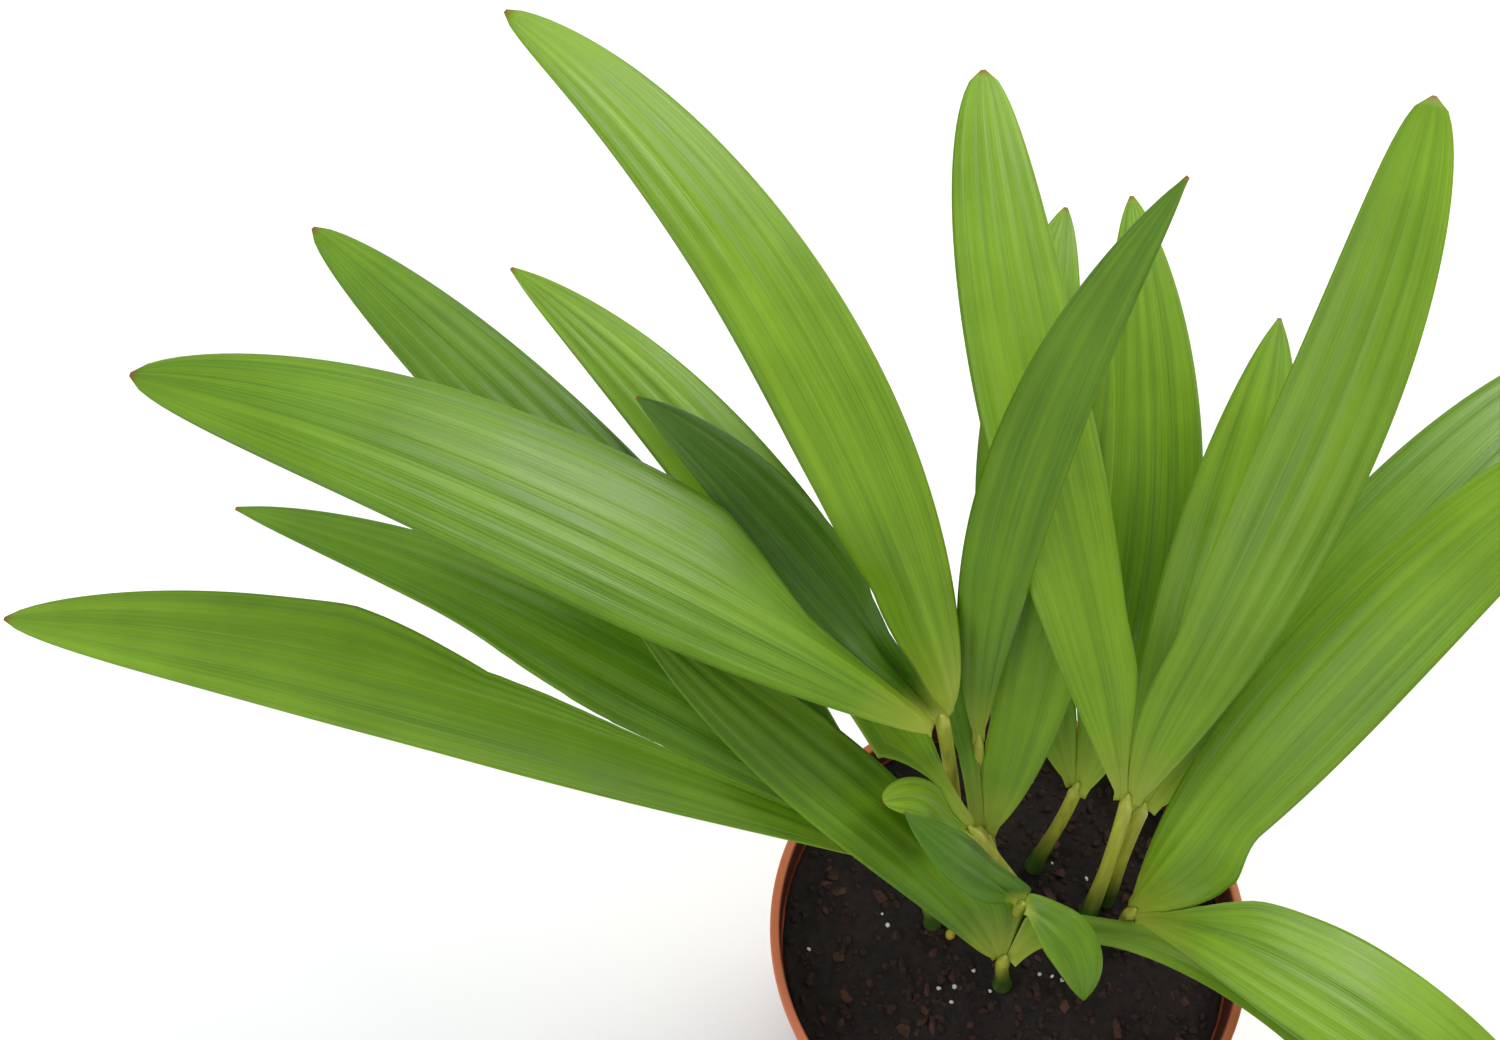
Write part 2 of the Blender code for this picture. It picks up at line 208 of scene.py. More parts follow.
# The same leaves as the part's own: foot on the compost, base of the blades, and the lobes.
leaves = {
    "a": {
        "foot": (-0.018, 0.005), "base": (-0.031, 0.010, 0.138), "joined": (0.50, 0.30),
        "lobes": {
            "left": {"tip": (-0.233, 0.047, 0.190), "width": 0.030, "turn": 6, "droop": 22,
                     "start": 0.12, "blunt": 0.65},
            "middle": {"tip": (-0.184, 0.075, 0.190), "width": 0.022, "turn": 8, "droop": 22,
                       "start": 0.20, "blunt": 0.75, "widest": 0.40, "tone": "mid"},
            "right": {"tip": (-0.168, 0.138, 0.212), "width": 0.027, "turn": 2, "start": 0.20,
                      "basePower": 1.2, "tone": "mid"},
        },
    },
    "b": {
        "foot": (-0.012, 0.032), "base": (-0.0215, 0.027, 0.178), "joined": (0.20, 0.20),
        "follow": 0.05,
        "lobes": {
            "left": {"tip": (-0.196, 0.081, 0.240), "width": 0.037, "turn": 8, "droop": 22,
                     "start": 0.10, "widest": 0.46, "tone": "mid"},
            "middle": {"tip": (-0.090, 0.086, 0.222), "width": 0.018, "turn": 10, "droop": 15,
                       "start": 0.20, "blunt": 0.8, "aim": (138, 5), "basePower": 1.2, "tone": "deep"},
            "right": {"tip": (-0.116, 0.145, 0.280), "width": 0.026, "turn": 22, "droop": 22,
                      "blunt": 0.58, "widest": 0.45},
        },
    },
    "c": {
        "foot": (0.008, 0.005), "base": (-0.0115, 0.0125, 0.142), "joined": (0.25,),
        "lobes": {
            "left": {"tip": (-0.035, 0.010, 0.172), "width": 0.012, "turn": 20, "droop": 25,
                     "start": 0.30, "blunt": 0.5, "aim": (165, 30)},
            "right": {"tip": (-0.121, 0.128, 0.210), "width": 0.024, "turn": 10, "blunt": 0.75,
                      "basePower": 1.6},
        },
    },
    "d": {
        "foot": (0.004, 0.010), "base": (-0.0083, 0.0155, 0.132), "joined": (0.14,),
        "lobes": {
            "left": {"tip": (-0.073, 0.150, 0.230), "width": 0.020, "start": 0.22, "blunt": 0.75,
                     "aim": (98, 62), "basePower": 2.2, "tone": "mid"},
            "right": {"tip": (0.014, 0.099, 0.228), "width": 0.020, "droop": 15, "start": 0.25,
                      "blunt": 0.8, "aim": (60, 60)},
        },
    },
    "e": {
        "foot": (0.022, 0.007), "base": (0.021, 0.012, 0.165), "joined": (0.14,),
        "lobes": {
            "left": {"tip": (-0.013, 0.154, 0.250), "width": 0.025, "turn": -12, "droop": 18,
                     "blunt": 0.5, "widest": 0.55},
            "right": {"tip": (0.070, 0.115, 0.290), "width": 0.023, "turn": 14, "droop": 18,
                      "blunt": 0.45, "widest": 0.55},
        },
    },
    "f": {
        "foot": (0.009, 0.020), "base": (0.015, 0.027, 0.130), "joined": (0.20,),
        "lobes": {
            "left": {"tip": (0.013, 0.156, 0.195), "width": 0.025, "turn": -16, "start": 0.30,
                     "blunt": 0.7, "aim": (115, 35)},
            "right": {"tip": (0.025, 0.145, 0.215), "width": 0.025, "turn": 12, "start": 0.30,
                      "blunt": 0.7, "aim": (60, 50)},
        },
    },
    "g": {
        "foot": (0.030, 0.000), "base": (0.0285, 0.000, 0.119), "joined": (0.14,),
        "lobes": {
            "left": {"tip": (0.128, 0.076, 0.240), "width": 0.027, "turn": -9, "droop": 25,
                     "start": 0.30, "blunt": 0.7},
            "right": {"tip": (0.134, -0.070, 0.090), "width": 0.030, "turn": -18, "droop": 55,
                      "start": 0.22, "blunt": 0.7, "widest": 0.4, "aim": (-3, 46)},
        },
    },
    "h": {
        "foot": (-0.001, -0.011), "base": (-0.003, -0.011, 0.115), "joined": (0.14,),
        "lobes": {
            "left": {"tip": (-0.092, 0.047, 0.195), "width": 0.022, "turn": -4, "droop": 15,
                     "start": 0.25, "blunt": 0.8, "aim": (125, 55), "basePower": 0.55, "tone": "mid"},
            "right": {"tip": (0.088, -0.042, 0.080), "width": 0.009, "turn": -28, "droop": 50,
                      "start": 0.35, "blunt": 0.8, "widest": 0.45, "aim": (44, 8)},
        },
    },
    "k": {
        "foot": (0.027, 0.011), "base": (0.027, 0.015, 0.150), "joined": (0.20,),
        "lobes": {
            "left": {"tip": (0.056, 0.111, 0.215), "width": 0.024, "turn": 5, "blunt": 0.8},
            "right": {"tip": (0.148, 0.126, 0.185), "width": 0.028, "turn": -5, "droop": 22,
                      "blunt": 0.7, "aim": (45, 20), "tone": "mid"},
        },
    },
    "m": {
        "foot": (-0.002, 0.017), "base": (-0.011, 0.030, 0.156), "joined": (), "thin": 0.7,
        "lobes": {
            "only": {"tip": (0.017, 0.088, 0.300), "width": 0.017, "turn": -30, "droop": 8,
                     "start": 0.33, "blunt": 0.8, "tone": "mid"},
        },
    },
    "n": {
        "foot": (0.000, 0.000), "base": (-0.0005, -0.003, 0.136), "joined": (0.14,), "thin": 0.75,
        "lobes": {
            "left": {"tip": (-0.0305, 0.007, 0.174), "width": 0.013, "turn": -20, "droop": 30,
                     "start": 0.20, "blunt": 0.9, "widest": 0.45, "aim": (150, 40), "tone": "deep"},
            "right": {"tip": (0.015, -0.022, 0.121), "width": 0.013, "turn": -30, "droop": 40,
                      "start": 0.50, "blunt": 0.9, "widest": 0.4, "aim": (-22, -8), "tone": "mid"},
        },
    },
    "p": {
        "foot": (-0.014, -0.040), "base": (-0.020, -0.050, 0.138), "joined": (0.14,),
        "lobes": {
            "left": {"tip": (-0.062, -0.205, 0.215), "width": 0.027, "turn": -8, "droop": 25},
            "right": {"tip": (-0.160, -0.125, 0.205), "width": 0.029, "turn": 10, "droop": 25, "tone": "mid"},
        },
    },
    "q": {
        "foot": (0.017, -0.037), "base": (0.022, -0.048, 0.145), "joined": (0.14,),
        "lobes": {
            "left": {"tip": (0.150, -0.135, 0.205), "width": 0.028, "turn": 8, "droop": 25, "tone": "mid"},
            "right": {"tip": (0.030, -0.210, 0.225), "width": 0.026, "turn": 6, "droop": 25},
        },
    },
}


def headingRise(heading, rise):
    heading = math.radians(heading)
    rise = math.radians(rise)
    level = math.cos(rise)
    return Vector((math.cos(heading) * level, math.sin(heading) * level, math.sin(rise)))


def bezier(start, leave, arrive, end, t):
    s = 1 - t
    return s * s * s * start + 3 * s * s * t * leave + 3 * s * t * t * arrive + t * t * t * end


def chord(leaf, lobe):
    return (Vector(lobe["tip"]) - Vector(leaf["base"])).normalized()


# the line of a stalk and the way its top points: partly on along the stalk, partly with the lobes
def petiolePath(leaf):
    shape = petioleShape
    foot = Vector((*leaf["foot"], compostTop + shape["lift"]))
    base = Vector(leaf["base"])
    length = (base - foot).length
    mean = sum((chord(leaf, lobe) for lobe in leaf["lobes"].values()), Vector()).normalized()
    top = ((base - foot).normalized() + mean * leaf.get("follow", shape["follow"])).normalized()
    leave = foot + up * length * shape["footHandle"]
    arrive = base - top * length * shape["topHandle"]
    points = [bezier(foot, leave, arrive, base, i / shape["rings"]) for i in range(shape["rings"] + 1)]
    return points, top


def halfWidth(lobe, u):
    if u < lobe["widest"]:
        share = math.sin(math.pi / 2 * u / lobe["widest"]) ** lobe["basePower"]
    else:
        share = (1 - ((u - lobe["widest"]) / (1 - lobe["widest"])) ** 2) ** lobe["blunt"]
    least = bladeShape["startWidth"] if u < 0.5 else bladeShape["tipWidth"]
    return max(lobe["width"] * share, least) / 2


# the plane between two neighbours, nearer to the narrower one
def seamNormal(leaf, left, right):
    a = chord(leaf, left)
    b = chord(leaf, right)
    middle = (a * right["width"] + b * left["width"]).normalized()
    normal = a - b
    return (normal - middle * normal.dot(middle)).normalized()


# what the lobes of one leaf share
def leafSpread(leaf):
    lobes = [{**lobeDefaults, **lobe} for lobe in leaf["lobes"].values()]
    _, top = petiolePath(leaf)
    across = Vector()
    if len(lobes) > 1:
        across = chord(leaf, lobes[0]) - chord(leaf, lobes[-1])
        across = (across - top * across.dot(top)).normalized()
    return {
        "lobes": lobes, "top": top, "across": across, "centre": (len(lobes) - 1) / 2,
        "step": bladeShape["startStep"] * leaf.get("thin", 1), "base": Vector(leaf["base"]),
    }


def lobeMidline(spread, place):
    shape = bladeShape
    lobe = spread["lobes"][place]
    base = spread["base"]
    top = spread["top"]
    away = headingRise(*lobe["aim"]) if "aim" in lobe else top
    lift = shape["startLift"] + shape["turnLift"] * math.sin(away.angle(top))
    start = base + top * lift + spread["across"] * (spread["centre"] - place) * spread["step"]
    tip = Vector(lobe["tip"])
    line = tip - base
    heading = math.degrees(math.atan2(line.y, line.x)) + lobe["turn"]
    rise = math.degrees(math.asin(line.z / line.length)) - lobe["droop"]
    leave = start + away * line.length * lobe["start"]
    arrive = tip - headingRise(heading, rise) * line.length * shape["tipHandle"]
    return [bezier(start, leave, arrive, tip, i / shape["along"]) for i in range(shape["along"] + 1)]


# how far a lobe reaches to its left (-1) or right (1): to its own edge, or to the seam where it is joined
def edgeReach(leaf, spread, place, edge, point, side, u):
    shape = bladeShape
    lobes = spread["lobes"]
    half = halfWidth(lobes[place], u)
    if not 0 <= place + edge < len(lobes):
        return half
    seam = min(place, place + edge)
    plane = seamNormal(leaf, lobes[seam], lobes[seam + 1]) * edge
    through = spread["base"] + spread["across"] * (spread["centre"] - seam - 0.5) * spread["step"]
    distance = (point - through).dot(plane)
    closing = -side.dot(plane) * edge
    if closing <= shape["closing"]:
        return half
    narrow = min(half, max((distance - shape["seamGap"]) / closing, shape["seamLeast"]))
    free = min(max((u - leaf["joined"][seam]) / shape["seamEnd"], 0), 1)
    return narrow + (half - narrow) * free


# left edge, middle, right edge and normal at each step along a lobe, and how far along it is
def lobeFrames(leaf, key):
    spread = leafSpread(leaf)
    place = list(leaf["lobes"]).index(key)
    middle = lobeMidline(spread, place)
    run = [0]
    for i in range(len(middle) - 1):
        run.append(run[-1] + (middle[i + 1] - middle[i]).length)
    rows = []
    for i, point in enumerate(middle):
        u = run[i] / run[-1]
        along = (middle[min(i + 1, len(middle) - 1)] - middle[max(i - 1, 0)]).normalized()
        side = along.cross(up).normalized()
        left, right = [edgeReach(leaf, spread, place, edge, point, side, u) for edge in (-1, 1)]
        rows.append([point - side * left, point, point + side * right, side.cross(along), u])
    return rows, run[-1], spread["lobes"][place]


# Joined lobes share one edge along their seam, which parts smoothly from three quarters of the
# joined length on.
def joinedFrames(leaf, key):
    shape = bladeShape
    rows, length, lobe = lobeFrames(leaf, key)
    names = list(leaf["lobes"])
    place = names.index(key)
    # the side, and the places in a row of this lobe's edge there and of the neighbour's
    for edge, own, theirs in ((-1, 0, 2), (1, 2, 0)):
        other = place + edge
        if not 0 <= other < len(names):
            continue
        others, otherLength, _ = lobeFrames(leaf, names[other])
        joined = leaf["joined"][min(place, other)]
        first = joined * shape["shareFrom"]
        parting = joined * shape["shareLength"] + shape["shareLeast"]
        for row in rows:
            free = min(max((row[4] - first) / parting, 0), 1)
            free = free * free * (3 - 2 * free)
            near = min(others, key=lambda o: abs(o[4] * otherLength - row[4] * length))
            row[own] = row[own] + ((row[own] + near[theirs]) / 2 - row[own]) * (1 - free)
    return rows, length, lobe


# A blade: a grid laid along the lobe, pleated between its ribs and gently waved.
def addBlade(name, leaf, key, nodeName, seed):
    shape = bladeShape
    rows, length, lobe = joinedFrames(leaf, key)
    pleats = max(2, round(lobe["width"] / shape["pleatSpacing"]))
    blade = bmesh.new()
    bmesh.ops.create_grid(blade, x_segments=shape["along"], y_segments=shape["across"], size=1)
    uvLayer = blade.loops.layers.uv.new("blade")
    for face in blade.faces:
        for loop in face.loops:
            i = round((loop.vert.co.x + 1) / 2 * shape["along"])
            loop[uvLayer].uv = (rows[i][4], (loop.vert.co.y + 1) / 2 + seed * shape["uvStep"])
    for vert in blade.verts:
        i = round((vert.co.x + 1) / 2 * shape["along"])
        v = vert.co.y
        left, middle, right, normal, u = rows[i]
        edge = left if v > 0 else right
        width = (left - right).length
        flat = middle + (edge - middle) * abs(v)
        fade = min(u / shape["flatFoot"], 1) * min(width / lobe["width"], 1)
        fold = abs(math.sin(v * pleats * math.pi / 2)) - shape["pleatDrop"]
        pleat = fold * shape["pleatHeight"] * fade
        sample = Vector((u * length / shape["waveLength"], v * shape["waveAcross"], seed * shape["waveStep"]))
        swing = shape["waveMiddle"] + (1 - shape["waveMiddle"]) * abs(v)
        wave = noise.noise(sample) * shape["waveHeight"] * fade * swing
        sag = shape["arch"] * width * v * v
        vert.co = flat + normal * (pleat + wave - sag)
    bmesh.ops.recalc_face_normals(blade, faces=blade.faces)
    piece = addPiece(name, meshOf(name, blade), leafMaterials[lobe["tone"]], [nodeName])
    solid = piece.modifiers.new("bladeThickness", "SOLIDIFY")
    solid.thickness = shape["thickness"]
    solid.offset = 0


# Leaf stalks
# Young palm petiole: smooth waxy skin, yellow-green above, dark green where the sheath clasps it,
# with fine streaks 1.4 mm apart, so 700 to the metre, drawn out along the stalk.
petioleFinish = {
    "stalk": "#A4A83A", "sheath": "#3F5F1C", "sheathRange": (0.101, 0.115), "stretch": (1.0, 1.0, 0.06),
    "streaks": {"Scale": 700.0, "Detail": 3.0}, "brightRange": (0.3, 0.7, 0.8, 1.15),
    "bump": {"Distance": 0.0001, "Strength": 0.5}, "shader": {"Roughness": 0.42},
}


def petioleMaterial():
    finish = petioleFinish
    material, tree, shader = newMaterial("areca petiole", finish["shader"])
    place = addNode(tree, "ShaderNodeTexCoord")
    split = addNode(tree, "ShaderNodeSeparateXYZ", links={0: place.outputs["Object"]})
    rise = addNode(tree, "ShaderNodeMapRange", dict(zip(rangeInputs, finish["sheathRange"])),
                   {"Value": split.outputs[2]})
    stretch = addNode(tree, "ShaderNodeMapping", {"Scale": finish["stretch"]},
                      {"Vector": place.outputs["Object"]})
    streaks = addNode(tree, "ShaderNodeTexNoise", finish["streaks"], {"Vector": stretch.outputs[0]})
    colour = addNode(tree, "ShaderNodeMix",
                     {mixFirst: linear(finish["sheath"]), mixSecond: linear(finish["stalk"])},
                     {mixShare: rise.outputs[0]}, data_type="RGBA")
    bright = addNode(tree, "ShaderNodeMapRange", dict(zip(rangeInputs, finish["brightRange"])),
                     {"Value": streaks.outputs[0]})
    streaked = addNode(tree, "ShaderNodeHueSaturation",
                       links={"Value": bright.outputs[0], "Color": colour.outputs[mixResult]})
    tree.links.new(streaked.outputs[0], shader.inputs["Base Color"])
    bump = addNode(tree, "ShaderNodeBump", finish["bump"], {"Height": streaks.outputs[0]})
    tree.links.new(bump.outputs[0], shader.inputs["Normal"])
    return material


# where the unit ring's vertices go at step i of the stalk
def ringPlaces(ring, points, radii, i):
    along = (points[min(i + 1, len(points) - 1)] - points[max(i - 1, 0)]).normalized()
    x = (Vector((1, 0, 0)) - along * along.x).normalized()
    y = along.cross(x)
    return [points[i] + (x * corner.x + y * corner.y) * radii[i] for corner in ring]


def moveTo(verts, places):
    for vert, place in zip(verts, places):
        vert.co = place


def addPetiole(name, leaf, nodeName, material):
    shape = petioleShape
    points, top = petiolePath(leaf)
    thin = leaf.get("thin", 1)
    radii = []
    for i in range(len(points)):
        t = i / (len(points) - 1)
        swelling = max(1 - t / shape["swelling"], 0) ** shape["swellingPower"]
        radii.append((shape["topRadius"] + (shape["footRadius"] - shape["topRadius"]) * swelling) * thin)
    for i in range(1, shape["reachRings"] + 1):  # the stalk's end narrows between the blades
        points.append(points[-1] + top * shape["reach"] / shape["reachRings"])
        radii.append(shape["topRadius"] * thin * (1 - i * shape["narrowing"]))
    stalk = bmesh.new()
    verts = bmesh.ops.create_circle(stalk, segments=shape["sides"], radius=1, cap_ends=True)["verts"]
    faces = list(stalk.faces)
    ring = [vert.co.copy() for vert in verts]
    moveTo(verts, ringPlaces(ring, points, radii, 0))
    for i in range(1, len(points)):
        made = bmesh.ops.extrude_face_region(stalk, geom=faces)["geom"]
        newVerts = [item for item in made if isinstance(item, bmesh.types.BMVert)]
        if i > 1:
            bmesh.ops.delete(stalk, geom=faces, context="FACES_ONLY")
        faces = [item for item in made if isinstance(item, bmesh.types.BMFace)]
        # extruding loses the ring's order, so each new vertex is matched to the place it was copied from
        copied = ringPlaces(ring, points, radii, i - 1)
        ordered = [min(newVerts, key=lambda vert: (vert.co - place).length) for place in copied]
        moveTo(ordered, ringPlaces(ring, points, radii, i))
    bmesh.ops.recalc_face_normals(stalk, faces=stalk.faces)
    addPiece(name, meshOf(name, stalk), material, [nodeName])


petioleGreen = petioleMaterial()
mostLobes = 3
for number, (letter, leaf) in enumerate(leaves.items()):
    addPetiole(f"stalk_{letter}", leaf, f"petiole_{letter}", petioleGreen)
    for place, key in enumerate(leaf["lobes"]):
        addBlade(f"blade_{letter}_{key}", leaf, key, f"frond_{letter}_{key}", number * mostLobes + place)
print("leaves and stalks made")

# Pot
# Nursery pot: injection-moulded polypropylene in terracotta, a satin skin with soft darker flow
# marks and a fine grain; the top of the rim is painted paler as a painted highlight, and the inside wall
# above the compost is painted dark as painted shade.
# Flow marks are 17 mm apart, so 60 to the metre, and the grain 0.7 mm, so 1400.
potShape = {
    "height": 0.105, "rim": 0.060, "collar": 0.0586, "collarFoot": 0.091, "step": 0.0555,
    "stepFoot": 0.088, "foot": 0.042, "wall": 0.0014, "floor": 0.0025, "bead": 0.0024, "steps": 144,
    "footFlat": 0.0015, "rise": 0.0012, "stepOut": 0.0006,
    "roundings": (0.0005, 0.0004, 0.0003, 0.0002, 0.0001),  # from the wide ones to the finest
    "bevelWidth": 0.0002, "bevelSegments": 2, "bevelAngle": 35,
}
potFinish = {
    # rim is a painted highlight: the paler colour painted on the top of the rim, where the light falls
    "body": "#A4502F", "dark": "#7E3820", "rim": "#C26A43", "inside": "#4A2018", "stretch": (1.0, 1.0, 0.25),
    "marks": {"Scale": 60.0, "Detail": 5.0}, "grain": {"Scale": 1400.0, "Detail": 2.0},
    # inside, innerRange and aboveRange: the inner wall above the compost painted dark as painted shade
    "markRange": (0.35, 0.68), "litRimRange": (0.1025, 0.1045), "innerRange": (0.0580, 0.0574),
    "aboveRange": (0.0920, 0.0925), "roughRange": (0.3, 0.7, 0.40, 0.58),
    "bump": {"Distance": 0.00005, "Strength": 0.6},
}


def potMaterial():
    finish = potFinish
    material, tree, shader = newMaterial("terracotta polypropylene", {})
    place = addNode(tree, "ShaderNodeTexCoord")
    flow = addNode(tree, "ShaderNodeMapping", {"Scale": finish["stretch"]},
                   {"Vector": place.outputs["Object"]})
    marks = addNode(tree, "ShaderNodeTexNoise", finish["marks"], {"Vector": flow.outputs[0]})
    grain = addNode(tree, "ShaderNodeTexNoise", finish["grain"], {"Vector": place.outputs["Object"]})
    split = addNode(tree, "ShaderNodeSeparateXYZ", links={0: place.outputs["Object"]})
    # painted highlight: the top of the rim painted paler where the light falls on it
    high = addNode(tree, "ShaderNodeMapRange", dict(zip(rangeInputs, finish["litRimRange"])),
                   {"Value": split.outputs[2]})
    markRamp = addNode(tree, "ShaderNodeMapRange", dict(zip(rangeInputs, finish["markRange"])),
                       {"Value": marks.outputs[0]})
    body = addNode(tree, "ShaderNodeMix",
                   {mixFirst: linear(finish["body"]), mixSecond: linear(finish["dark"])},
                   {mixShare: markRamp.outputs[0]}, data_type="RGBA")
    # painted shade inside the wall above the compost: nearer to the axis than the wall, and higher than the
    # compost
    flatPlace = addNode(tree, "ShaderNodeVectorMath", {1: (1.0, 1.0, 0.0)}, {0: place.outputs["Object"]},
                        operation="MULTIPLY")
    radius = addNode(tree, "ShaderNodeVectorMath", links={0: flatPlace.outputs[0]}, operation="LENGTH")
    inner = addNode(tree, "ShaderNodeMapRange", dict(zip(rangeInputs, finish["innerRange"])),
                    {"Value": radius.outputs["Value"]})
    above = addNode(tree, "ShaderNodeMapRange", dict(zip(rangeInputs, finish["aboveRange"])),
                    {"Value": split.outputs[2]})
    insideShade = addNode(tree, "ShaderNodeMath", links={0: inner.outputs[0], 1: above.outputs[0]},
                   operation="MULTIPLY")
    highlightedRim = addNode(tree, "ShaderNodeMix", {mixSecond: linear(finish["rim"])},
                     {mixShare: high.outputs[0], mixFirst: body.outputs[mixResult]}, data_type="RGBA")
    # painted shade: the inner wall above the compost painted in the dark inside colour
    shadedInside = addNode(tree, "ShaderNodeMix", {mixSecond: linear(finish["inside"])},
                    {mixShare: insideShade.outputs[0], mixFirst: highlightedRim.outputs[mixResult]}, data_type="RGBA")
    tree.links.new(shadedInside.outputs[mixResult], shader.inputs["Base Color"])
    rough = addNode(tree, "ShaderNodeMapRange", dict(zip(rangeInputs, finish["roughRange"])),
                    {"Value": marks.outputs[0]})
    tree.links.new(rough.outputs[0], shader.inputs["Roughness"])
    bump = addNode(tree, "ShaderNodeBump", finish["bump"], {"Height": grain.outputs[0]})
    tree.links.new(bump.outputs[0], shader.inputs["Normal"])
    return material


weldDistance = 0.00002


def spinProfile(profile, steps):
    turned = bmesh.new()
    verts = [turned.verts.new((radius, 0, z)) for radius, z in profile]
    edges = [turned.edges.new((verts[i], verts[i + 1])) for i in range(len(verts) - 1)]
    bmesh.ops.spin(turned, geom=verts + edges, cent=(0, 0, 0), axis=(0, 0, 1), dvec=(0, 0, 0),
                   angle=2 * math.pi, steps=steps, use_merge=True, use_duplicate=False)
    bmesh.ops.remove_doubles(turned, verts=turned.verts, dist=weldDistance)
    bmesh.ops.recalc_face_normals(turned, faces=turned.faces)
    return turned


def addPot():
    s = potShape
    foot, step, collar, rim = [s[key] for key in ("foot", "step", "collar", "rim")]
    top = s["height"]
    lip = top - s["bead"]
    wall = s["wall"]
    wide, soft, small, fine, finest = s["roundings"]
    outside = [
        (0, 0), (foot - s["footFlat"], 0), (foot - wide, fine), (foot, s["rise"]),
        (foot + (step - foot) * 0.5, s["stepFoot"] * 0.5),
        (step, s["stepFoot"]), (step + s["stepOut"], s["stepFoot"] + s["rise"]),
        (collar - small, s["collarFoot"] - soft), (collar, s["collarFoot"] + soft),
        (collar, lip - soft), (collar + small, lip), (rim - small, lip + finest),
        (rim, lip + wide), (rim, top - wide), (rim - fine, top - finest), (rim - wide, top),
    ]
    inside = [
        (rim - s["bead"] + wide, top), (rim - s["bead"], top - soft),
        (collar - wall - finest, s["collarFoot"] + wall), (step - wall, s["stepFoot"] + wall),
        (foot - wall + wide, s["floor"] + 2 * wide), (foot - wall - wide, s["floor"]), (0, s["floor"]),
    ]
    mesh = meshOf("nurseryPot", spinProfile(outside + inside, s["steps"]))
    piece = addPiece("nurseryPot", mesh, potMaterial(), ["pot"])
    bevel = piece.modifiers.new("softEdges", "BEVEL")
    bevel.width = s["bevelWidth"]
    bevel.segments = s["bevelSegments"]
    bevel.limit_method = "ANGLE"
    bevel.angle_limit = math.radians(s["bevelAngle"])


addPot()
print("pot made")

# Compost
# Each loose material is noise between two colours, with a bump of the same noise.
# perMetre is how many grains a metre holds: 420 are grains of 2.4 mm.
looseNoise = {"Detail": 6.0, "Roughness": 0.65}
looseRange = (0.38, 0.66)
looseFinish = {
    # sphagnum peat, milled and watered: near-black and brown specks, matt
    "moist peat": {
        "colours": ("#0F0907", "#241610"), "perMetre": 420.0, "roughness": 0.93, "bump": 0.0006,
    },
    # pine bark, shredded and composted: reddish-brown chips, a little smoother than the peat
    "composted bark": {
        "colours": ("#4A281A", "#2A150D"), "perMetre": 500.0, "roughness": 0.85, "bump": 0.0003,
    },
    # the same peat in loose crumbs, which dry first: dark brown, matt
    "peat crumbs": {
        "colours": ("#1C120D", "#3A241A"), "perMetre": 600.0, "roughness": 0.95, "bump": 0.0004,
    },
    # volcanic glass, expanded by heat: off-white, pitted, matt
    "expanded perlite": {
        "colours": ("#E6E1D8", "#B9B0A4"), "perMetre": 900.0, "roughness": 0.9, "bump": 0.0002,
    },
    # fertiliser grain in a resin coat: yellow-olive, smooth, with a soft shine
    "coated fertiliser": {
        "colours": ("#B9A52E", "#93801F"), "perMetre": 300.0, "roughness": 0.4, "bump": 0.00005,
    },
}


def looseMaterial(name):
    finish = looseFinish[name]
    main, second = finish["colours"]
    material, tree, shader = newMaterial(name, {"Roughness": finish["roughness"]})
    place = addNode(tree, "ShaderNodeTexCoord")
    grain = addNode(tree, "ShaderNodeTexNoise", {"Scale": finish["perMetre"], **looseNoise},
                    {"Vector": place.outputs["Object"]})
    ramp = addNode(tree, "ShaderNodeMapRange", dict(zip(rangeInputs, looseRange)),
                   {"Value": grain.outputs[0]})
    colour = addNode(tree, "ShaderNodeMix", {mixFirst: linear(main), mixSecond: linear(second)},
                     {mixShare: ramp.outputs[0]}, data_type="RGBA")
    tree.links.new(colour.outputs[mixResult], shader.inputs["Base Color"])
    bump = addNode(tree, "ShaderNodeBump", {"Distance": finish["bump"], "Strength": 1.0},
                   {"Height": grain.outputs[0]})
    tree.links.new(bump.outputs[0], shader.inputs["Normal"])
    return material


compostShape = {
    "radius": 0.0564, "floor": 0.0030, "foot": 0.0398, "shoulder": 0.0528, "shoulderHeight": 0.088,
    "edgeDrop": 0.002, "rings": 56, "steps": 150, "surface": 0.0005,
    "dip": 0.0006, "edgeFrom": 0.048, "edgeWidth": 0.008, "edgeShare": 0.4,
    # unevenness: how many to the metre, how high, and which layer of the noise
    "clods": (90, 0.0016, 3.0), "lumps": (330, 0.0011, 8.0), "grit": (800, 0.0005, 1.0),
}


def uneven(x, y, kind):
    perMetre, height, layer = compostShape[kind]
    return noise.noise(Vector((x * perMetre, y * perMetre, layer))) * height


def compostHeight(x, y):
    s = compostShape
    edge = 1 - min(max((math.hypot(x, y) - s["edgeFrom"]) / s["edgeWidth"], 0), 1)
    share = s["edgeShare"] + (1 - s["edgeShare"]) * edge
    rough = (uneven(x, y, "clods") + uneven(x, y, "lumps")) * share
    return compostTop - s["dip"] + rough + uneven(x, y, "grit")


def addCompost():
    s = compostShape
    profile = [
        (0, s["floor"]), (s["foot"], s["floor"]), (s["shoulder"], s["shoulderHeight"]),
        (s["radius"], compostTop - s["edgeDrop"]),
    ]
    profile += [(s["radius"] * (1 - i / s["rings"]), compostTop) for i in range(s["rings"] + 1)]
    turned = spinProfile(profile, s["steps"])
    for vert in turned.verts:
        if vert.co.z > compostTop - s["surface"]:
            vert.co.z = compostHeight(vert.co.x, vert.co.y)
    addPiece("peatBed", meshOf("peatBed", turned), looseMaterial("moist peat"), ["compost"])


